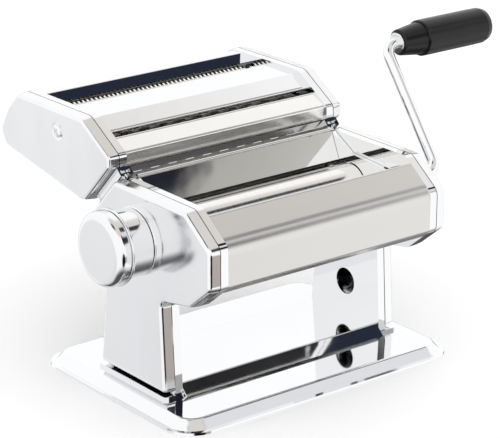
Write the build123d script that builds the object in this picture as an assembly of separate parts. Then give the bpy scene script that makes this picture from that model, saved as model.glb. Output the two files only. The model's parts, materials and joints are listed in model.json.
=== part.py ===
from build123d import *
import math
import os

# A hand-cranked pasta machine: two smooth rollers in a steel body on a base plate, with a
# cutter head hung behind them.  Millimetres, +Z up, +X towards the crank, -Y towards the cook.
# The origin is the centre of the base plate, on the table that its lip and feet rest on.

# ---------------------------------------------------------------- driving dimensions
sheet = 1.0                  # covers and plates
frame_sheet = 1.2            # side frames

base_width, base_depth = 208.6, 149.8
base_height = 7.1
base_lip = 1.5
base_lip_width = 2.8
base_corner = 19.0
base_slope = 42.0            # degrees, how far the skirt leans in

panel_x = 75.6               # inner face of each side frame
rim_x = 80.7                 # rim of its bent-out flange
cover_rim_x = 81.2           # open edge of the outer cover
cover_face_x = 88.6          # its polished face

roller_radius = 13.6
roller_half_length = 74.0
journal_radius = 6.0
running = 0.05               # radial clearance of every shaft in its hole
widest_gap, narrowest_gap = 2.4, 0.2
gap_travel = widest_gap - narrowest_gap
front_axis = (-10.0, 99.0)   # (y, z) of the adjustable roller, and of the knob
rear_axis = (front_axis[0] + 2 * roller_radius + widest_gap, front_axis[1] - 0.5)

gear_module = 1.95
roller_teeth, pinion_teeth = 14, 13
gear_x0, gear_x1 = 78.6, 84.4

crank_axis = (-35.7, 104.4)
crank_upper = (15.5, 174.0)  # (y, z) of the grip's axis
crank_bend_x = 120.0
rod_radius = 3.5
hub_radius, hub_end_x = 8.0, 92.5
socket_depth = 13.0

knob_turn = 240.0            # degrees from the widest to the narrowest gap
settings = 9
scroll_radius = 7.9          # pin distance from the spindle at the widest gap
pin_radius = 1.5

cutter_radius = 9.4
cutter_valley = 8.2
fine_noodle, wide_noodle = 1.6, 6.5
fine_axes = ((101.0, 141.5), (83.0, 141.5))     # drive roller, idle roller
wide_axes = ((38.5, 131.5), (56.5, 133.5))
cutter_module, cutter_teeth = 1.5, 12
cutter_journal = 4.0
cutter_hub = 7.0

# Outlines in the (y, z) plane, with the bend radius of each corner.
body_corners = [
    ((14.4, 128.8), 6), ((-55.5, 128.8), 6), ((-78.5, 111.7), 7), ((-78.4, 87.0), 6),
    ((-59.3, 71.5), 6), ((-31.3, 66.5), 5), ((-34.5, base_height), 0),
    ((31.4, base_height), 0), ((24.6, 69.0), 5), ((41.0, 85.5), 6), ((41.0, 101.0), 6),
]
slope_start = Vector(14.4, 128.8)      # the body's rear slope, which carries the cutter head
slope_end = Vector(41.0, 101.0)
cutter_stand_off = 6.5                 # the gap between that slope and the cutter head


def on_slope(along, out):
    """The (y, z) point so far along the body's rear slope and outwards from it."""
    run = (slope_end - slope_start).normalized()
    point = slope_start + run * along + Vector(-run.Y, run.X) * out
    return (point.X, point.Y)


cutter_corners = [
    ((115.8, 158.0), 6), ((46.5, 158.8), 9), ((18.4, 141.8), 4),
    (on_slope(-1.5, cutter_stand_off), 3), (on_slope(35.0, cutter_stand_off), 4),
    ((51.0, 107.3), 5), ((131.5, 121.2), 7), ((136.0, 131.5), 6), ((126.8, 146.8), 8),
]

PARTS = {}


# ---------------------------------------------------------------- helpers
def outline(corners, inset=0.0):
    """A closed (y, z) face with rounded corners."""
    points = [corner for corner, radius in corners]
    radii = [radius for corner, radius in corners]
    face = make_face(FilletPolyline(*points, radius=radii, close=True))
    return offset(face, -inset, kind=Kind.INTERSECTION) if inset else face


def slab(face, x0, x1):
    """A (y, z) face made solid from x0 to x1."""
    return extrude(Plane.YZ.offset(x0) * face, x1 - x0, dir=(1, 0, 0))


def rod(yz, radius, x0, x1):
    """A cylinder along X."""
    return slab(Pos(*yz) * Circle(radius), x0, x1)


def ring(yz, outer, inner, x0, x1):
    return slab(Pos(*yz) * (Circle(outer) - Circle(inner)), x0, x1)


def strip(points, thickness, x0, x1, radius=0.0, side=Side.LEFT):
    """Sheet metal bent along (y, z) points, as wide as x0 to x1."""
    line = FilletPolyline(*points, radius=radius) if radius else Polyline(*points)
    return slab(make_face(offset(line, thickness, side=side)), x0, x1)


def turned(yz, profile):
    """A lathe-turned solid about an X axis, from (x, radius) points."""
    face = make_face(Polyline(*profile, close=True))
    return Pos(0, *yz) * revolve(face, Axis.X)


def both_sides(right):
    return [right, mirror(right, about=Plane.YZ)]


def slope_box(x_centre, width, along, out):
    """A block standing on the rear slope: (from, to) along it and (from, to) outwards."""
    run = (slope_end - slope_start).normalized()
    origin = (x_centre, *on_slope(along[0], out[0]))
    place = Plane(origin=origin, x_dir=(0, run.X, run.Y), z_dir=(1, 0, 0))
    size = (along[1] - along[0], out[1] - out[0])
    sketch = Pos(size[0] / 2, size[1] / 2) * Rectangle(*size)
    return extrude(place * sketch, width / 2, both=True)


def gear_face(teeth, module, phase, addendum, dedendum, backlash):
    """A spur gear's outline, with a tooth pointing in the direction `phase` (degrees)."""
    pitch_radius = teeth * module / 2
    half = (math.pi * module / 2 - backlash) / 2
    tip, root = pitch_radius + addendum, pitch_radius - dedendum
    flank = [
        (root, (half + dedendum * math.tan(math.radians(12))) / root),
        (pitch_radius, half / pitch_radius),
        (tip, (half - addendum * math.tan(math.radians(26))) / tip),
    ]
    points = []
    for tooth in range(teeth):
        middle = math.radians(phase) + tooth * 2 * math.pi / teeth
        for radius, angle in flank:
            points.append((radius * math.cos(middle - angle), radius * math.sin(middle - angle)))
        for radius, angle in reversed(flank):
            points.append((radius * math.cos(middle + angle), radius * math.sin(middle + angle)))
    return make_face(Polyline(*points, close=True))


def gear(yz, face, bore):
    return slab(Pos(*yz) * (face - Circle(bore)), gear_x0, gear_x1)


def direction(start, end):
    return math.degrees(math.atan2(end[1] - start[1], end[0] - start[0]))


def cut_socket(yz, hub_end):
    """The crank's socket: a round hole with a cross slot at its mouth."""
    hole = rod(yz, rod_radius + running, hub_end - socket_depth, hub_end)
    slot = slab(Pos(*yz) * Rectangle(11.2, 2.2), hub_end - 5.0, hub_end)
    return hole + slot


# ---------------------------------------------------------------- stand
def base_plate():
    def tray(margin, bottom, top):
        inset = margin * 2
        sketch = RectangleRounded(base_width - inset, base_depth - inset, base_corner - margin)
        return extrude(Pos(0, 0, bottom) * sketch, top - bottom, taper=base_slope)

    well_margin = base_lip_width + 1.4
    lip = extrude(RectangleRounded(base_width, base_depth, base_corner), base_lip)
    outer = tray(base_lip_width, base_lip, base_height)
    top_edges = outer.faces().sort_by(Axis.Z)[-1].edges()
    outer = fillet(top_edges, 2.0)
    well = extrude(
        RectangleRounded(base_width - 2 * well_margin, base_depth - 2 * well_margin,
                         base_corner - well_margin), base_lip)
    inner = tray(well_margin, base_lip, base_height - sheet)
    plate = lip + outer - well - inner
    for x, y in screw_places:
        plate -= Pos(x, y, base_height) * Cylinder(2.0, 4)
    return plate


screw_places = [(sx * 78.3, y) for sx in (-1, 1) for y in (-22.0, 20.0)]


def rubber_feet():
    feet = []
    for x in (-80.0, 80.0):
        for y in (-50.0, 50.0):
            profile = [(0, 0), (7.0, 0), (8.0, base_height - sheet), (0, base_height - sheet)]
            foot = revolve(Plane.XZ * make_face(Polyline(*profile, close=True)), Axis.Z)
            feet.append(Pos(x, y, 0) * foot)
    return feet


def base_screws():
    head = Pos(0, 0, base_height - sheet - 1.0) * Cylinder(3.6, 2.0)
    shank_length = sheet + frame_sheet + 0.8
    shank = Pos(0, 0, base_height - sheet + shank_length / 2) * Cylinder(2.0, shank_length)
    return [Pos(x, y, 0) * (head + shank) for x, y in screw_places]


def bottom_tray():
    """The deck between the legs, with a flange that leans out at the front."""
    deck = base_height + 6.3
    points = [(-38.8, base_height), (-31.9, deck), (25.8, deck), (25.8, base_height)]
    tray = strip(points, sheet, -panel_x, panel_x, radius=1.2, side=Side.RIGHT)
    above_base = Pos(0, 0, base_height + 10) * Box(2 * panel_x + 2, 100, 20)
    return tray & above_base


# ---------------------------------------------------------------- body
tie_rod_places = [(-66.0, 96.0), (-26.0, 75.0), (31.0, 84.0), (17.5, 117.3)]
post_places = [(-62.0, 104.0), (-3.0, 55.0)]
clamp_hole = (-1.9, 32.5)
clamp_hole_radius = 8.5
foot_x, foot_sheet = 89.4, 1.8
foot_gap = 0.8               # from the foot to the outer cover
block_half_width = 8.0
block_low, block_high = 77.0, 110.0
slide_clearance = 0.2


def block_window():
    """The window in a side frame in which a bearing block slides."""
    y0 = front_axis[0] - block_half_width - slide_clearance
    y1 = front_axis[0] + block_half_width + gap_travel + slide_clearance
    z0, z1 = block_low - slide_clearance, block_high + slide_clearance
    return Pos((y0 + y1) / 2, (z0 + z1) / 2) * Rectangle(y1 - y0, z1 - z0)


def pan(corners, x0, x1, thickness):
    """A panel with its edges bent outwards."""
    inside = slab(outline(corners, thickness), x0 + thickness, x1)
    return slab(outline(corners), x0, x1) - inside


def side_frame(right):
    frame = pan(body_corners, panel_x, rim_x, frame_sheet)
    holes = [block_window(), Pos(*rear_axis) * Circle(rear_bush_radius)]
    holes.append(Pos(*clamp_hole) * Circle(clamp_hole_radius))
    holes += [Pos(*place) * Circle(2.0) for place in tie_rod_places]
    if right:
        holes.append(Pos(*crank_axis) * Circle(inner_bush_radius))
    else:
        pin_end = (cam_pin_place[0] + gap_travel, cam_pin_place[1])
        holes.append(Pos(*pin_end) * Circle(pin_radius + 0.4))
    for hole in holes:
        frame -= slab(hole, panel_x - 1, panel_x + frame_sheet + 1)
    frame += frame_foot()
    for x, y in screw_places:
        if x > 0:
            frame -= Pos(x, y, base_height) * Cylinder(2.0, 6)
    return frame if right else mirror(frame, about=Plane.YZ)


def frame_foot():
    """The flat foot that the leg and its cover stand on."""
    y0, y1 = -36.0, 33.0
    width = foot_x - panel_x
    plan = Pos(panel_x + width / 2, (y0 + y1) / 2) * Rectangle(width, y1 - y0)
    foot = extrude(Pos(0, 0, base_height) * plan, foot_sheet)
    corners = foot.edges().filter_by(Axis.Z).group_by(Axis.X)[-1]
    return fillet(corners, 3.0)


cover_sheet = 0.8
leg_crease, leg_recess = 66.0, 0.45


def deep_cover(corners, thickness, face_inset, edge_radius):
    """A deep-drawn outer cover: leaning walls, rounded face edge, open towards the frame."""
    def drawn(inset, x1, radius):
        rim = Plane.YZ.offset(cover_rim_x) * outline(corners, inset)
        taper = math.degrees(math.atan(face_inset / (cover_face_x - cover_rim_x)))
        block = extrude(rim, x1 - cover_rim_x, taper=taper)
        face_edges = block.faces().sort_by(Axis.X)[-1].edges()
        return fillet(face_edges, radius)

    outside = drawn(0.0, cover_face_x, edge_radius)
    inside = drawn(thickness, cover_face_x - thickness, edge_radius - thickness)
    return outside - inside


def body_cover(right):
    corners = []
    for (y, z), radius in body_corners:
        low = z == base_height
        lift = foot_sheet + foot_gap if low else 0.0
        corners.append(((y, z + lift), 3.0 if low else radius))
    cover = deep_cover(corners, cover_sheet, 0.9, 2.6)
    cover = press_leg(cover, corners)
    hole = rod(crank_axis if right else front_axis,
               outer_bush_radius if right else collar_sleeve_radius, cover_rim_x, 100)
    cover -= hole
    return cover if right else mirror(cover, about=Plane.YZ)


def press_leg(cover, corners):
    """Sets the cover's leg back a little below a sloping crease."""
    backing = outline(corners, 4.5) & Pos(0, leg_crease / 2) * Rectangle(200, leg_crease)
    inner_face = cover_face_x - cover_sheet
    cover += slab(backing, inner_face - leg_recess, inner_face + 0.1)
    outer = cover_face_x + 1
    profile = Plane.XZ * make_face(Polyline(
        (outer, 0), (cover_face_x - leg_recess, 0), (cover_face_x - leg_recess, leg_crease),
        (cover_face_x, leg_crease + 1.6), (outer, leg_crease + 1.6), close=True))
    return cover - extrude(profile, 100, both=True)


def cover_posts():
    posts = []
    for place in post_places:
        end_x = cover_face_x - cover_sheet
        if place[1] < leg_crease:
            end_x -= leg_recess
        posts += both_sides(rod(place, 3.0, panel_x + frame_sheet, end_x))
    return posts


def front_cover():
    top, bend, low, lip = (-60.6, 125.1), (-78.4, 111.7), (-78.3, 87.2), (-73.0, 82.6)
    line = FilletPolyline(lip, low, bend, top, radius=[3.0, 13.0])
    skin = slab(make_face(offset(line, sheet, side=Side.RIGHT)), -panel_x, panel_x)
    hem = rod((top[0] + 0.5, top[1] - 1.1), 1.3, -panel_x, panel_x)
    return skin + hem


def rear_cover():
    points = [on_slope(1.5, -0.1), on_slope(37.6, -0.1), (40.9, 86.5), (36.0, 81.4)]
    return strip(points, sheet, -panel_x, panel_x, radius=3.0, side=Side.RIGHT)


def hopper_plate():
    top, low = (10.0, 130.0), (2.2, 112.5)
    plate = strip([low, top], sheet, -roller_half_length, roller_half_length, side=Side.RIGHT)
    hem = rod((top[0] + 0.4, top[1] - 0.6), 1.3, -roller_half_length, roller_half_length)
    tabs = []
    for x0, x1 in ((-panel_x, -roller_half_length), (roller_half_length, panel_x)):
        tabs.append(strip([(5.0, 118.8), (9.4, 128.6)], sheet, x0, x1, side=Side.RIGHT))
    return plate + hem + tabs


def tie_rods():
    rods = []
    for place in tie_rod_places:
        bar = rod(place, 3.0, -panel_x, panel_x)
        for hole in both_sides(rod(place, 2.0, panel_x - 8, panel_x)):
            bar -= hole
        rods.append(bar)
    return rods


def tie_rod_screws():
    screws = []
    for place in tie_rod_places:
        outside = panel_x + frame_sheet
        screw = rod(place, 2.0, panel_x - 7, outside) + rod(place, 3.8, outside, outside + 1.6)
        screws += both_sides(screw)
    return screws


def roller_end_guards():
    """Plates that keep the dough off the frames, with a small clip at the front end."""
    inner_x, outer_x = 72.6, panel_x - 0.2
    shape = make_face(Polyline(
        (9.0, 128.4), (-8.3, 118.8), (-38.2, 116.9), (-46.0, 116.4), (-46.0, 109.0),
        (-28.0, 101.0), (2.8, 104.5), (8.0, 106.5), (6.6, 111.0), (1.9, 112.3), close=True))
    clearance = 0.6
    closed_axis = (front_axis[0] + gap_travel, front_axis[1])
    for axis in (front_axis, closed_axis, rear_axis):
        shape -= Pos(*axis) * Circle(roller_radius + clearance)
    guard = slab(shape, inner_x, outer_x)
    guard -= slab(offset(block_window(), clearance), panel_x - 1.0, panel_x)
    guard += slab(Pos(-25.0, 114.5) * Rectangle(12, 3), outer_x - 0.1, panel_x)
    clip = slab(Pos(-42.2, 117.6) * Rectangle(7.6, 4.0), 72.2, panel_x)
    slot = slab(Pos(-42.8, 118.2) * Rectangle(5.0, 1.2), 72.0, panel_x - 0.6)
    return both_sides(guard + clip - slot)


rear_bush_radius = 9.0
inner_bush_radius = 8.0
outer_bush_radius = 11.0
bush_x0, bush_x1 = 74.9, 78.2


def rear_bushes():
    bush = ring(rear_axis, rear_bush_radius, journal_radius + running, panel_x, bush_x1)
    collar = ring(rear_axis, rear_bush_radius + 1.5, journal_radius + running,
                  panel_x + frame_sheet, bush_x1)
    return both_sides(bush + collar)


def scraper(tie_rod, roller, angle):
    """A blade clipped on a tie rod, with its edge close to the roller."""
    reach = roller_radius + 0.35
    tip = (roller[0] + reach * math.cos(math.radians(angle)),
           roller[1] + reach * math.sin(math.radians(angle)))
    end = roller_half_length - 0.5
    blade = strip([tie_rod, tip], 0.8, -end, end)
    clip = rod(tie_rod, 4.0, -end, end)
    return clip + blade - rod(tie_rod, 3.0, -end, end)


def body_rails():
    """T rails on the rear slope, which the cutter head's channels slide over."""
    web = slope_box(78.2, 2.0, (4.0, 30.0), (0.0, 2.5))
    head = slope_box(78.2, 6.0, (4.0, 30.0), (2.5, 4.0))
    stop = slope_box(78.2, 9.2, (28.0, 30.0), (0.0, 6.0))
    return both_sides(web + head + stop)


# ---------------------------------------------------------------- rollers and their setting
def roller(yz):
    length = roller_half_length
    return turned(yz, [
        (-bush_x1, 0), (-bush_x1, journal_radius - 0.4), (-bush_x1 + 0.4, journal_radius),
        (-length, journal_radius), (-length, roller_radius - 0.5),
        (-length + 0.5, roller_radius), (length - 0.5, roller_radius),
        (length, roller_radius - 0.5), (length, journal_radius), (gear_x1, journal_radius),
        (gear_x1, 0)])


def bearing_blocks():
    blocks = []
    height = block_high - block_low
    middle = (front_axis[0], (block_high + block_low) / 2)
    for side in (1, -1):
        core = slab(Pos(*middle) * Rectangle(2 * block_half_width, height), 75.1, bush_x1)
        flange = slab(Pos(*middle) * RectangleRounded(22.0, height + 4, 2.0),
                      panel_x + frame_sheet + 0.2, bush_x1)
        block = core + flange
        block -= rod(front_axis, journal_radius + running, 70, 80)
        block -= rod(carriage_tie_place, 2.5, 70, 77.2)
        if side < 0:
            block = mirror(block, about=Plane.YZ)
            block -= rod(cam_pin_place, pin_radius, -80, -76.2)
        blocks.append(block)
    return blocks


carriage_tie_place = (front_axis[0], 80.6)
cam_pin_place = (front_axis[0] + scroll_radius, front_axis[1])
scroll_x0, scroll_x1 = -82.0, -78.9


def thickness_spindle():
    """Turning this spindle draws the cam pin outwards along its spiral groove."""
    disc = rod(front_axis, 14.0, scroll_x0, scroll_x1)
    shaft = rod(front_axis, spindle_radius, spindle_end_x, scroll_x0)
    flat = slab(Pos(front_axis[0], front_axis[1] + 8.8) * Rectangle(20, 10),
                spindle_end_x, knob_inner_x)
    half_width = pin_radius + 0.2

    def spiral(offset_radius):
        points = []
        for step in range(13):
            turn = knob_turn * step / 12
            radius = scroll_radius + gap_travel * step / 12 + offset_radius
            angle = math.radians(-turn)
            points.append((radius * math.cos(angle), radius * math.sin(angle)))
        return Spline(*points)

    inner, outer = spiral(-half_width), spiral(half_width)
    groove_face = make_face([inner, outer, Line(inner @ 0, outer @ 0), Line(inner @ 1, outer @ 1)])
    groove = slab(Pos(*front_axis) * groove_face, scroll_x1 - 2.3, scroll_x1)
    for end in (0, 1):
        centre = (inner @ end + outer @ end) / 2
        groove += rod((front_axis[0] + centre.X, front_axis[1] + centre.Y), half_width,
                      scroll_x1 - 2.3, scroll_x1)
    return disc - groove + (shaft - flat)


spindle_radius = 5.0
spindle_end_x = -106.0
collar_sleeve_radius = 9.0
collar_radius = 20.5
collar_x = -91.0
knob_inner_x = -91.3
knob_radius = 20.0
index_radius = 14.0


def index_collar():
    """The fixed collar behind the knob, with a hole for every thickness setting."""
    face = -cover_face_x
    collar = ring(front_axis, collar_radius, spindle_radius + running, collar_x, face)
    sleeve = ring(front_axis, collar_sleeve_radius, spindle_radius + running, face,
                  scroll_x0 - 0.2)
    collar = fillet((collar + sleeve).faces().sort_by(Axis.X)[0].outer_wire().edges(), 0.6)
    collar -= ring(front_axis, index_radius + 2.0, index_radius - 2.0, collar_x, collar_x + 1.4)
    for setting in range(settings):
        angle = math.radians(90 - setting * knob_turn / (settings - 1))
        place = (front_axis[0] + index_radius * math.cos(angle),
                 front_axis[1] + index_radius * math.sin(angle))
        collar -= rod(place, 1.4, collar_x, face)
    return collar


def knob():
    """Hollow knob: the spring sits in its chamber and holds it against the collar."""
    disc_back, disc_face = -108.4, -117.2
    barrel = rod(front_axis, knob_radius, disc_back - 1.0, knob_inner_x)
    barrel = fillet(barrel.faces().sort_by(Axis.X)[-1].edges(), 0.8)
    disc = rod(front_axis, 22.4, disc_face, disc_back)
    disc = fillet(disc.faces().sort_by(Axis.X)[0].edges(), 5.0)
    disc = fillet(disc.faces().sort_by(Axis.X)[-1].edges(), 0.8)
    rim = rod(front_axis, 23.0, disc_back + 0.4, disc_back + 2.2)
    rim = fillet(rim.edges(), 0.7)
    neck = rod(front_axis, 21.0, disc_back - 0.5, disc_back + 1.0)
    body = barrel + disc + neck + rim
    body -= rod(front_axis, 9.4, -113.8, -96.0)
    bore = Circle(spindle_radius + running)
    bore -= Pos(0, 8.8 + running) * Rectangle(20, 10)
    body -= slab(Pos(*front_axis) * bore, -97.0, knob_inner_x)
    pin_hole = rod((front_axis[0], front_axis[1] + index_radius), 1.2, -96.0, knob_inner_x)
    return body - pin_hole


def index_pin():
    return rod((front_axis[0], front_axis[1] + index_radius), 1.2, -96.0, collar_x + 1.1)


def knob_spring():
    """A compression spring between the knob's web and the spindle screw."""
    wire, radius, length = 0.7, 6.6, 9.6 - 1.4
    coil = Helix(pitch=2.05, height=length, radius=radius)
    section = Plane(origin=coil @ 0, z_dir=coil % 0) * Circle(wire)
    spring = sweep(section, path=coil)
    return Pos(-96.2 - wire, *front_axis) * Rot(0, -90, 0) * spring


def spindle_screw():
    return rod(front_axis, 8.6, -107.6, spindle_end_x)


# ---------------------------------------------------------------- drive and crank
def drive_shaft():
    shaft = rod(crank_axis, 5.0, panel_x, gear_x1 + 0.2)
    hub = rod(crank_axis, hub_radius, gear_x1 + 0.2, hub_end_x)
    hub = chamfer(hub.faces().sort_by(Axis.X)[-1].edges(), 0.6)
    return shaft + hub - cut_socket(crank_axis, hub_end_x)


def inner_drive_bush():
    core = ring(crank_axis, inner_bush_radius, 5.0 + running, panel_x, bush_x1)
    return core + ring(crank_axis, 9.5, 5.0 + running, panel_x + frame_sheet, bush_x1)


def outer_bush(yz, sleeve, flange, bore):
    """A flanged bush in an outer cover's face."""
    body = ring(yz, sleeve, bore, gear_x1 + 0.5, cover_face_x)
    return body + ring(yz, flange, bore, cover_face_x, cover_face_x + 1.4)


def crank_rod():
    y0, z0 = crank_axis
    y1, z1 = crank_upper
    start_x = hub_end_x - socket_depth + 0.5
    path = FilletPolyline((start_x, y0, z0), (crank_bend_x, y0, z0), (crank_bend_x, y1, z1),
                          (grip_end_x - 6.0, y1, z1), radius=9.0)
    section = Plane(origin=path @ 0, z_dir=path % 0) * Circle(rod_radius)
    tab = slab(Pos(y0, z0) * Rectangle(10.8, 2.0), hub_end_x - 4.7, hub_end_x - 0.3)
    return sweep(section, path=path) + tab


grip_start_x, grip_end_x = 131.0, 205.0


def crank_grip():
    x0 = grip_start_x
    bore = rod_radius + running
    return turned(crank_upper, [
        (x0, bore), (x0, 7.6), (x0 + 0.7, 8.3), (x0 + 2.5, 8.5), (x0 + 17.0, 10.4),
        (x0 + 17.0, 11.0), (x0 + 18.0, 11.5), (x0 + 62.0, 11.5), (x0 + 62.0, 6.0),
        (x0 + 55.0, 6.0), (x0 + 55.0, bore)])


def grip_cap():
    x0 = grip_start_x + 62.0
    return turned(crank_upper, [
        (x0, 6.0), (x0, 11.4), (x0 + 6.0, 11.4), (x0 + 9.6, 10.3), (x0 + 11.4, 7.6),
        (x0 + 12.0, 4.0), (x0 + 12.0, 0), (x0 + 9.0, 0), (x0 + 9.0, 6.0)])


def grip_washer():
    return ring(crank_upper, 6.6, rod_radius, grip_start_x - 1.3, grip_start_x - 0.3)


def grip_retainer():
    return ring(crank_upper, 5.4, rod_radius, grip_start_x + 56.0, grip_start_x + 58.0)


# ---------------------------------------------------------------- cutter head
cutter_axes = fine_axes + wide_axes
cutter_tie_rod_places = [(70.0, 119.0), (122.0, 131.5), (114.0, 150.0)]
left_screw_place, right_screw_place = (71.7, 144.6), (69.5, 146.5)
dimple_depth = 0.4


def cutter_frame(right):
    frame = pan(cutter_corners, panel_x, rim_x, frame_sheet)
    for place in cutter_axes:
        frame -= rod(place, 6.5, panel_x - 1, panel_x + frame_sheet + 1)
    for place in cutter_tie_rod_places:
        frame -= rod(place, 1.6, panel_x - 1, panel_x + frame_sheet + 1)
    return frame if right else mirror(frame, about=Plane.YZ)


def cutter_cover(right):
    cover = deep_cover(cutter_corners, cover_sheet, 0.9, 2.2)
    if right:
        for place in (fine_axes[0], wide_axes[0]):
            cover -= rod(place, cutter_hub + 1.5, cover_rim_x, 100)
    screw_place = right_screw_place if right else left_screw_place
    cover -= turned(screw_place, [
        (cover_face_x - dimple_depth, 0), (cover_face_x - dimple_depth, 4.5),
        (cover_face_x + 0.1, 6.0), (cover_face_x + 0.1, 0)])
    cover -= rod(screw_place, 1.5, cover_rim_x, 100)
    return cover if right else mirror(cover, about=Plane.YZ)


def cutter_cover_posts():
    x0, x1 = panel_x + frame_sheet, cover_face_x - 0.8
    left = mirror(ring(left_screw_place, 3.0, 1.5, x0, x1), about=Plane.YZ)
    return [ring(right_screw_place, 3.0, 1.5, x0, x1), left]


def cutter_cover_screws():
    seat = cover_face_x - dimple_depth

    def screw(place):
        head = turned(place, [(seat, 0), (seat, 4.0), (seat + 0.7, 3.8), (seat + 1.5, 2.6),
                              (seat + 1.8, 0)])
        for turn in (45, 135):
            head -= slab(Pos(*place) * Rot(0, 0, turn) * Rectangle(4.4, 1.0),
                         seat + 0.7, seat + 3)
        return head + rod(place, 1.5, panel_x + frame_sheet + 0.5, seat)

    return [screw(right_screw_place), mirror(screw(left_screw_place), about=Plane.YZ)]


def cutter_front_cover():
    points = [on_slope(10.0, cutter_stand_off + 0.4), on_slope(1.0, cutter_stand_off + 0.4),
              (19.7, 141.9), (31.3, 147.8)]
    skin = strip(points, sheet, -panel_x, panel_x, radius=1.8, side=Side.RIGHT)
    return skin + rod((31.0, 147.0), 0.9, -panel_x, panel_x)


def cutter_middle_cover():
    points = [(39.6, 145.6), (38.3, 149.6), (49.8, 156.4), (76.6, 156.4), (78.6, 151.6)]
    return strip(points, sheet, -panel_x, panel_x, radius=1.5, side=Side.RIGHT)


def cutter_rear_cover():
    points = [(99.5, 152.2), (104.7, 157.6), (111.0, 157.6), (124.5, 146.0), (131.0, 136.0)]
    return strip(points, sheet, -panel_x, panel_x, radius=1.5, side=Side.RIGHT)


def cutter_channels():
    """C channels under the cutter head, which slide over the body's rails."""
    along = (-1.0, 27.7)
    back = slope_box(78.2, 9.2, along, (4.4, 6.4))
    channel = back
    for side in (-1, 1):
        channel += slope_box(78.2 + side * 4.0, 1.2, along, (0.9, 4.4))
        channel += slope_box(78.2 + side * 2.6, 2.0, along, (0.9, 2.1))
    return both_sides(channel)


def cutter_tie_rods():
    return [rod(place, 2.5, -panel_x, panel_x) for place in cutter_tie_rod_places]


def cutter_bushes():
    bushes = []
    for place in cutter_axes:
        core = ring(place, 6.5, cutter_journal + running, panel_x, bush_x1)
        bushes += both_sides(core)
    return bushes


def socket_bushes():
    bushes = []
    for place in (fine_axes[0], wide_axes[0]):
        bushes.append(outer_bush(place, cutter_hub + 1.5, cutter_hub + 2.6,
                                 cutter_hub + running))
    return bushes


def cutting_roller(yz, noodle, shifted, drive):
    """A shaft with square rings, which run in the valleys of the roller beside it."""
    pitch = 2 * noodle
    count = int(2 * (roller_half_length - 0.5) / pitch)
    start = -count * pitch / 2 + (noodle if shifted else 0.0)
    rings = [start + pitch * index for index in range(count)]
    if shifted:
        rings = rings[:-1]
    play = 0.15
    end = roller_half_length - 0.3
    profile = [(-bush_x1, 0), (-bush_x1, cutter_journal), (-end, cutter_journal),
               (-end, cutter_valley)]
    for left in rings:
        profile += [(left + play, cutter_valley), (left + play, cutter_radius),
                    (left + noodle - play, cutter_radius), (left + noodle - play, cutter_valley)]
    profile += [(end, cutter_valley), (end, cutter_journal)]
    if drive:
        profile += [(gear_x1 + 0.2, cutter_journal), (gear_x1 + 0.2, cutter_hub),
                    (hub_end_x - 1.5, cutter_hub), (hub_end_x - 1.5, 0)]
    else:
        profile += [(gear_x1, cutter_journal), (gear_x1, 0)]
    body = turned(yz, profile)
    return body - cut_socket(yz, hub_end_x - 1.5) if drive else body


def combs(axes, noodle, directions):
    """Combs that lift the cut strands out of the rollers' valleys."""
    result = []
    pitch = 2 * noodle
    count = int(2 * (roller_half_length - 0.5) / pitch)
    near, bar, far = cutter_valley + 0.35, cutter_radius + 0.6, cutter_radius + 4.6
    for index, (yz, angle) in enumerate(zip(axes, directions)):
        shift = noodle if index == 1 else 0.0
        first = -count * pitch / 2 + shift + 1.5 * noodle
        sketch = Pos(0, (bar + far) / 2) * Rectangle(2 * panel_x, far - bar)
        teeth = []
        for number in range(count - 1):
            teeth.append(Pos(first + pitch * number, (near + bar) / 2)
                         * Rectangle(noodle - 0.5, bar - near + 0.02))
        sketch = sketch + teeth
        place = Plane(origin=(0, *yz), x_dir=(1, 0, 0),
                      z_dir=(0, -math.sin(math.radians(angle)), math.cos(math.radians(angle))))
        result.append(extrude(place * sketch, 0.6, both=True))
    return result


# ---------------------------------------------------------------- assembly
def add(name, shape):
    PARTS[name] = shape


add("base_plate", base_plate())
add("rubber_feet", rubber_feet())
add("base_screws", base_screws())
add("bottom_tray", bottom_tray())
add("right_side_frame", side_frame(True))
add("left_side_frame", side_frame(False))
add("right_side_cover", body_cover(True))
add("left_side_cover", body_cover(False))
add("cover_posts", cover_posts())
add("front_cover", front_cover())
add("rear_cover", rear_cover())
add("hopper_plate", hopper_plate())
add("tie_rods", tie_rods())
add("tie_rod_screws", tie_rod_screws())
add("roller_end_guards", roller_end_guards())
add("frame_bushes", rear_bushes() + [inner_drive_bush()])
add("scrapers", [scraper(tie_rod_places[1], front_axis, -118),
                 scraper(tie_rod_places[2], rear_axis, -66)])
add("body_rails", body_rails())
add("outer_drive_bush", outer_bush(crank_axis, outer_bush_radius, 13.0, hub_radius + running))
add("index_collar", index_collar())

add("front_roller", roller(front_axis))
add("rear_roller", roller(rear_axis))
to_pinion = direction(front_axis, crank_axis)
tooth_step = 360 / roller_teeth
to_rear = direction(front_axis, rear_axis)
off_line = (to_rear - to_pinion) % tooth_step
long_tooth = dict(addendum=1.7, dedendum=2.2, backlash=0.6)
add("front_roller_gear", gear(front_axis, gear_face(
    roller_teeth, gear_module, to_pinion, **long_tooth), journal_radius))
add("rear_roller_gear", gear(rear_axis, gear_face(
    roller_teeth, gear_module, to_rear + 180 + off_line + tooth_step / 2, **long_tooth),
    journal_radius))
add("drive_pinion", gear(crank_axis, gear_face(
    pinion_teeth, gear_module, to_pinion + 180 + 180 / pinion_teeth, **long_tooth), 5.0))
add("bearing_blocks", bearing_blocks())
add("carriage_tie", rod(carriage_tie_place, 2.5, -77.2, 77.2))
add("cam_pin", rod(cam_pin_place, pin_radius, -81.0, -76.2))
add("thickness_spindle", thickness_spindle())
add("spindle_screw", spindle_screw())
add("knob", knob())
add("index_pin", index_pin())
add("knob_spring", knob_spring())
add("drive_shaft", drive_shaft())
add("crank_rod", crank_rod())
add("grip_washers", [grip_washer(), grip_retainer()])
add("crank_grip", crank_grip())
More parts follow.
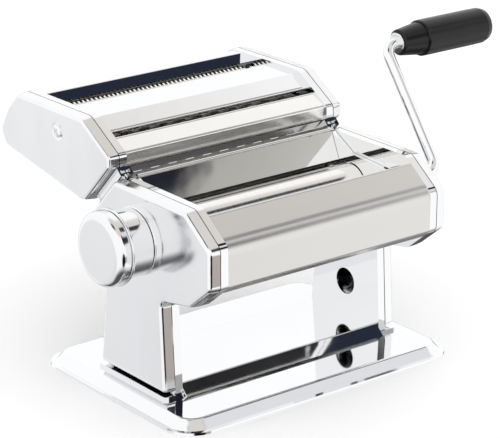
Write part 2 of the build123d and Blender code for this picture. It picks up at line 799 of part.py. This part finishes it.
add("grip_cap", grip_cap())

add("cutter_right_frame", cutter_frame(True))
add("cutter_left_frame", cutter_frame(False))
add("cutter_right_cover", cutter_cover(True))
add("cutter_left_cover", cutter_cover(False))
add("cutter_cover_posts", cutter_cover_posts())
add("cutter_cover_screws", cutter_cover_screws())
add("cutter_front_cover", cutter_front_cover())
add("cutter_middle_cover", cutter_middle_cover())
add("cutter_rear_cover", cutter_rear_cover())
add("cutter_channels", cutter_channels())
add("cutter_tie_rods", cutter_tie_rods())
add("cutter_bushes", cutter_bushes())
add("socket_bushes", socket_bushes())
short_tooth = dict(addendum=1.2, dedendum=1.6, backlash=0.4)
for kind, axes, noodle in (("fine", fine_axes, fine_noodle), ("wide", wide_axes, wide_noodle)):
    drive_axis, idle_axis = axes
    add(f"{kind}_drive_roller", cutting_roller(drive_axis, noodle, False, True))
    add(f"{kind}_idle_roller", cutting_roller(idle_axis, noodle, True, False))
    toward = direction(drive_axis, idle_axis)
    drive_gear = gear_face(cutter_teeth, cutter_module, toward, **short_tooth)
    idle_gear = gear_face(cutter_teeth, cutter_module, toward + 180 + 180 / cutter_teeth,
                          **short_tooth)
    add(f"{kind}_drive_gear", gear(drive_axis, drive_gear, cutter_journal))
    add(f"{kind}_idle_gear", gear(idle_axis, idle_gear, cutter_journal))
add("combs", combs(fine_axes, fine_noodle, (-35, -145))
    + combs(wide_axes, wide_noodle, (-100, -45)))


def export():
    os.makedirs("parts", exist_ok=True)
    for name, shape in PARTS.items():
        pieces = shape if isinstance(shape, list) else [shape]
        solids = [solid for piece in pieces for solid in piece.solids()]
        whole = solids[0] if len(solids) == 1 else Compound(children=solids)
        whole.label = name
        export_step(whole, f"parts/{name}.step")


export()
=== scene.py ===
"""A hand-cranked pasta machine in polished steel, on a pale studio floor."""
import json
import math

import bpy
from mathutils import Matrix, Vector


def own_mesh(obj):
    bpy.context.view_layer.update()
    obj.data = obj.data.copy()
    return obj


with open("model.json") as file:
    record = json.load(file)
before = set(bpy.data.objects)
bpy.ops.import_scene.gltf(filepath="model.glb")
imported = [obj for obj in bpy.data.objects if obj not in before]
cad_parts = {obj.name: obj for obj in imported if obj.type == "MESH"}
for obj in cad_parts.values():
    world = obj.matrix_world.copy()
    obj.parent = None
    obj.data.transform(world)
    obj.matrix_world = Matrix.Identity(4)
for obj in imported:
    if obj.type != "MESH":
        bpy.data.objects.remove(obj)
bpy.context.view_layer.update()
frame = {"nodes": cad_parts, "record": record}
nodes = frame["nodes"]


# ---------------------------------------------------------------- camera
def make_camera():
    """A long lens from the front left, a little above."""
    azimuth, elevation = math.radians(-38.05), math.radians(19.635)
    distance, shift_right, shift_up = 1.41171, 0.000838, 0.009149
    back = Vector((math.sin(azimuth) * math.cos(elevation),
                   -math.cos(azimuth) * math.cos(elevation), math.sin(elevation)))
    right = Vector((math.cos(azimuth), math.sin(azimuth), 0))
    up = back.cross(right)
    aim = Vector((0, 0, 0.080))
    data = bpy.data.cameras.new("camera")
    data.lens = 168.5
    data.sensor_width = 36.0
    data.clip_start = 0.05
    data.clip_end = 30.0
    camera = bpy.data.objects.new("camera", data)
    camera.location = aim + back * distance + right * shift_right + up * shift_up
    camera.matrix_world = Matrix.Translation(camera.location) @ Matrix(
        (right, up, back)).transposed().to_4x4()
    bpy.context.scene.collection.objects.link(camera)
    bpy.context.scene.camera = camera


# ---------------------------------------------------------------- materials
class Nodes:
    """A small wrapper that keeps shader code short."""

    def __init__(self, name):
        self.material = bpy.data.materials.new(name)
        self.material.use_nodes = True
        self.tree = self.material.node_tree
        self.shader = self.tree.nodes["Principled BSDF"]

    def add(self, kind, **settings):
        node = self.tree.nodes.new(kind)
        for key, value in settings.items():
            if key in node.inputs:
                node.inputs[key].default_value = value
            else:
                setattr(node, key, value)
        return node

    def link(self, output, target):
        self.tree.links.new(output, target)

    def set(self, **values):
        """Sets sockets of the main shader, such as metallic=1.0."""
        for key, value in values.items():
            self.shader.inputs[key.capitalize()].default_value = value

    def noise(self, scale, stretch=(1, 1, 1), detail=3.0):
        """Noise in object space, drawn out along an axis by a small stretch factor."""
        place = self.add("ShaderNodeTexCoord")
        mapping = self.add("ShaderNodeMapping")
        mapping.inputs["Scale"].default_value = stretch
        self.link(place.outputs["Object"], mapping.inputs["Vector"])
        noise = self.add("ShaderNodeTexNoise", Scale=scale, Detail=detail)
        self.link(mapping.outputs["Vector"], noise.inputs["Vector"])
        return noise.outputs["Fac"]

    def spread(self, value, low, high, start=0.3, end=0.7):
        """Maps a noise value to the range low to high."""
        node = self.add("ShaderNodeMapRange")
        for key, number in (("From Min", start), ("From Max", end), ("To Min", low),
                            ("To Max", high)):
            node.inputs[key].default_value = number
        self.link(value, node.inputs["Value"])
        return node.outputs["Result"]

    def tint(self, value, dark, light):
        """A colour from dark, where value is 0, to light, where it is 1."""
        node = self.add("ShaderNodeMix", data_type="RGBA")
        self.link(value, node.inputs["Factor"])
        node.inputs["A"].default_value = (*dark, 1)
        node.inputs["B"].default_value = (*light, 1)
        return node.outputs["Result"]

    def bump(self, value, strength, distance):
        node = self.add("ShaderNodeBump", Strength=strength, Distance=distance)
        self.link(value, node.inputs["Height"])
        self.link(node.outputs["Normal"], self.shader.inputs["Normal"])


def polished_steel(name, light=(0.86, 0.865, 0.875), rough=(0.03, 0.07)):
    """Mirror-polished stainless steel: faint smears and a very slight waviness."""
    kit = Nodes(name)
    kit.set(metallic=1.0)
    smear = kit.noise(35.0, detail=5.0)
    kit.link(kit.spread(smear, *rough), kit.shader.inputs["Roughness"])
    dark = tuple(channel * 0.965 for channel in light)
    kit.link(kit.tint(kit.spread(kit.noise(9.0), 0, 1), dark, light),
             kit.shader.inputs["Base Color"])
    kit.bump(kit.noise(60.0, detail=1.0), strength=0.06, distance=0.0004)
    return kit.material


def pressed_steel(name, light=(0.86, 0.865, 0.875), rough=(0.09, 0.17)):
    """Polished sheet after pressing: cloudy, with a soft waviness."""
    kit = Nodes(name)
    kit.set(metallic=1.0)
    cloud = kit.noise(22.0, stretch=(1, 1, 0.5), detail=4.0)
    kit.link(kit.spread(cloud, *rough), kit.shader.inputs["Roughness"])
    dark = tuple(channel * 0.93 for channel in light)
    kit.link(kit.tint(kit.spread(kit.noise(16.0, stretch=(1, 1, 0.4)), 0, 1), dark, light),
             kit.shader.inputs["Base Color"])
    waves = kit.noise(18.0, stretch=(1, 1, 0.5), detail=1.0)
    kit.bump(waves, strength=0.5, distance=0.0016)
    return kit.material


def satin_steel(name, light=(0.76, 0.75, 0.73), rough=(0.2, 0.3)):
    """Fine-brushed stainless steel, with its grain along X."""
    kit = Nodes(name)
    kit.set(metallic=1.0)
    grain = kit.noise(3200.0, stretch=(0.01, 1, 1), detail=2.0)
    kit.link(kit.spread(grain, *rough), kit.shader.inputs["Roughness"])
    dark = tuple(channel * 0.975 for channel in light)
    kit.link(kit.tint(kit.spread(grain, 0, 1), dark, light), kit.shader.inputs["Base Color"])
    kit.bump(grain, strength=0.008, distance=0.00003)
    return kit.material


def turned_steel(name, light=(0.8, 0.8, 0.79), rough=(0.16, 0.26)):
    """Ground or lathe-turned metal, with fine rings around X."""
    kit = Nodes(name)
    kit.set(metallic=1.0)
    rings = kit.noise(2200.0, stretch=(1, 0.02, 0.02), detail=2.0)
    kit.link(kit.spread(rings, *rough), kit.shader.inputs["Roughness"])
    dark = tuple(channel * 0.93 for channel in light)
    kit.link(kit.tint(kit.spread(rings, 0, 1), dark, light), kit.shader.inputs["Base Color"])
    return kit.material


def plastic(name, dark, light, rough, grain_scale=1800.0, strength=0.15):
    """Moulded plastic with a fine spark-eroded grain."""
    kit = Nodes(name)
    grain = kit.noise(grain_scale, detail=2.0)
    kit.link(kit.spread(grain, *rough), kit.shader.inputs["Roughness"])
    kit.link(kit.tint(kit.spread(kit.noise(40.0), 0, 1), dark, light),
             kit.shader.inputs["Base Color"])
    kit.bump(grain, strength, distance=0.00008)
    kit.shader.inputs["Specular IOR Level"].default_value = 0.3
    return kit.material


MATERIALS = {
    "polished_steel": polished_steel("polished steel"),
    "satin_steel": satin_steel("satin steel", (0.71, 0.70, 0.68), (0.23, 0.27)),
    "roller_steel": turned_steel("ground rollers", (0.86, 0.85, 0.82), (0.1, 0.18)),
    "zinc_steel": turned_steel("zinc-plated steel", (0.66, 0.67, 0.69), (0.22, 0.34)),
    "gear_steel": turned_steel("cut steel", (0.42, 0.42, 0.43), (0.3, 0.45)),
    "nylon": plastic("natural nylon", (0.8, 0.79, 0.74), (0.86, 0.85, 0.81), (0.4, 0.5)),
    "rubber": plastic("black rubber", (0.02, 0.02, 0.02), (0.04, 0.04, 0.04), (0.7, 0.85)),
    "black_plastic": plastic("black grip plastic", (0.004, 0.004, 0.005),
                             (0.009, 0.009, 0.010), (0.2, 0.3), strength=0.08),
}


# Nodes whose finish differs from the rest of their slot.
FINISHES = {
    "hopper_plate": polished_steel("bright mill steel", (0.86, 0.85, 0.83), (0.02, 0.06)),
    "cutter_front_cover": polished_steel("dull mill steel", (0.86, 0.85, 0.83), (0.12, 0.2)),
    "knob": polished_steel("handled steel", (0.84, 0.845, 0.855), (0.09, 0.16)),
}
SIDE_COVERS = ("left_side_cover", "right_side_cover", "cutter_left_cover",
               "cutter_right_cover")
FINISHES.update(dict.fromkeys(SIDE_COVERS, pressed_steel("pressed steel")))


def dress_cad_nodes():
    slots = {entry["node"]: entry["material_slot"] for entry in frame["record"]["subparts"]}
    for name, piece in nodes.items():
        piece.data.materials.clear()
        piece.data.materials.append(FINISHES.get(name, MATERIALS[slots[name]]))


# ---------------------------------------------------------------- studio
# The studio is a white tent.  Polished steel shows its darker parts: each is given as an
# azimuth (anticlockwise from +X) and an elevation in degrees, the angle from there within
# which it has its full colour, the angle beyond which it has faded out, and the colour.
# A later row lies over an earlier one.
WHITE = (1.14, 1.14, 1.14)
SHADES = [
    (-60, 75, 28, 38, (0.80, 0.76, 0.72)),       # ceiling
    (206, 70, 8, 13, (0.02, 0.02, 0.02)),        # lamp housing
    (-59.3, 31.1, 12.2, 19, (0.50, 0.49, 0.47)),  # grey surround of the next flag
    (-59.3, 31.1, 11.8, 12.2, (0.016, 0.018, 0.03)),  # dark flag, front right
    (-37, 43, 7, 15, (0.85, 0.85, 0.87)),        # grey edge of the dark flag
    (-29, 49, 6, 8, (0.02, 0.026, 0.045)),       # dark flag, right
    (0, -90, 30, 55, (0.10, 0.10, 0.10)),        # under the table
    (140, -34, 4, 34, (0.87, 0.875, 0.89)),      # grey cloth, rear left
    (-97, -22, 17, 23, (0.01, 0.01, 0.011)),     # darkness in front of the table
    (-68, -20, 7, 11, (0.50, 0.44, 0.40)),       # its wooden edge
    (50, -24, 16, 32, (0.10, 0.10, 0.11)),       # darkness behind the table
]


def heading(azimuth, elevation):
    """The unit vector towards an azimuth and elevation in degrees."""
    azimuth, elevation = math.radians(azimuth), math.radians(elevation)
    return Vector((math.cos(azimuth) * math.cos(elevation),
                   math.sin(azimuth) * math.cos(elevation), math.sin(elevation)))


def sky_colour(tree):
    """The tent's colour in each direction."""
    place = tree.nodes.new("ShaderNodeTexCoord")
    colour = None
    for azimuth, elevation, inner, outer, shade in SHADES:
        dot = tree.nodes.new("ShaderNodeVectorMath")
        dot.operation = "DOT_PRODUCT"
        dot.inputs[1].default_value = heading(azimuth, elevation)
        tree.links.new(place.outputs["Generated"], dot.inputs[0])
        edge = tree.nodes.new("ShaderNodeMapRange")
        edge.interpolation_type = "SMOOTHSTEP"
        edge.inputs["From Min"].default_value = math.cos(math.radians(outer))
        edge.inputs["From Max"].default_value = math.cos(math.radians(inner))
        tree.links.new(dot.outputs["Value"], edge.inputs["Value"])
        mix = tree.nodes.new("ShaderNodeMix")
        mix.data_type = "RGBA"
        tree.links.new(edge.outputs["Result"], mix.inputs["Factor"])
        if colour is None:
            mix.inputs["A"].default_value = (*WHITE, 1)
        else:
            tree.links.new(colour, mix.inputs["A"])
        mix.inputs["B"].default_value = (*shade, 1)
        colour = mix.outputs["Result"]
    return colour


def make_world():
    """Mirrors see the tent; the camera and matt surfaces see an even white."""
    world = bpy.data.worlds.new("studio")
    bpy.context.scene.world = world
    world.use_nodes = True
    tree = world.node_tree
    background = tree.nodes["Background"]
    path = tree.nodes.new("ShaderNodeLightPath")
    plain = tree.nodes.new("ShaderNodeMath")
    plain.operation = "MAXIMUM"
    tree.links.new(path.outputs["Is Camera Ray"], plain.inputs[0])
    tree.links.new(path.outputs["Is Diffuse Ray"], plain.inputs[1])
    seen = tree.nodes.new("ShaderNodeMix")
    seen.data_type = "RGBA"
    tree.links.new(plain.outputs["Value"], seen.inputs["Factor"])
    tree.links.new(sky_colour(tree), seen.inputs["A"])
    seen.inputs["B"].default_value = (1.1, 1.1, 1.1, 1)
    tree.links.new(seen.outputs["Result"], background.inputs["Color"])


def make_floor():
    """A pale table; polished steel reflects the studio around it in its place."""
    half = 6.0
    mesh = bpy.data.meshes.new("floor")
    mesh.from_pydata([(-half, -half, 0), (half, -half, 0), (half, half, 0),
                      (-half, half, 0)], [], [(0, 1, 2, 3)])
    floor = bpy.data.objects.new("floor", mesh)
    bpy.context.scene.collection.objects.link(floor)
    floor.visible_glossy = False
    kit = Nodes("pale floor")
    kit.set(roughness=0.6)
    shade = kit.tint(kit.spread(kit.noise(3.0), 0, 1), (0.97, 0.97, 0.97), (0.99, 0.99, 0.99))
    kit.link(shade, kit.shader.inputs["Base Color"])
    mesh.materials.append(kit.material)


def make_painted_shade_flag():
    """Painted shade: a black sheet under the body, seen only in reflections, which stands in
    for the shade inside the body that the tray between the legs mirrors.
    """
    mesh = bpy.data.meshes.new("flag")
    mesh.from_pydata([(-0.074, -0.071, 0.084), (0.074, -0.071, 0.084), (0.074, -0.047, 0.080),
                      (-0.074, -0.047, 0.080)], [], [(0, 1, 2, 3)])
    flag = bpy.data.objects.new("flag", mesh)
    bpy.context.scene.collection.objects.link(flag)
    flag.visible_camera = flag.visible_shadow = flag.visible_diffuse = False
    # Its near-black colour is painted shade: no such part is in the machine.
    kit = Nodes("painted shade card")
    kit.set(roughness=0.9)
    shade = kit.tint(kit.spread(kit.noise(30.0), 0, 1), (0.015, 0.015, 0.02),
                     (0.03, 0.03, 0.035))
    kit.link(shade, kit.shader.inputs["Base Color"])
    mesh.materials.append(kit.material)


def make_light():
    """One large soft lamp above, to the left and in front."""
    data = bpy.data.lights.new("soft light", "AREA")
    data.shape = "RECTANGLE"
    data.size = data.size_y = 1.2
    data.energy = 3.0
    lamp = bpy.data.objects.new("soft light", data)
    lamp.location = (-0.9, -1.0, 1.5)
    aim = Vector((0, 0, 0.08)) - Vector(lamp.location)
    lamp.rotation_euler = aim.to_track_quat("-Z", "Y").to_euler()
    lamp.visible_glossy = False
    bpy.context.scene.collection.objects.link(lamp)


bpy.context.scene.view_settings.view_transform = "Standard"
make_camera()
dress_cad_nodes()
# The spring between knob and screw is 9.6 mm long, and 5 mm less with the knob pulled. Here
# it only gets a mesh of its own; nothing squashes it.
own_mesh(nodes["knob_spring"])
make_world()
make_floor()
make_painted_shade_flag()
make_light()
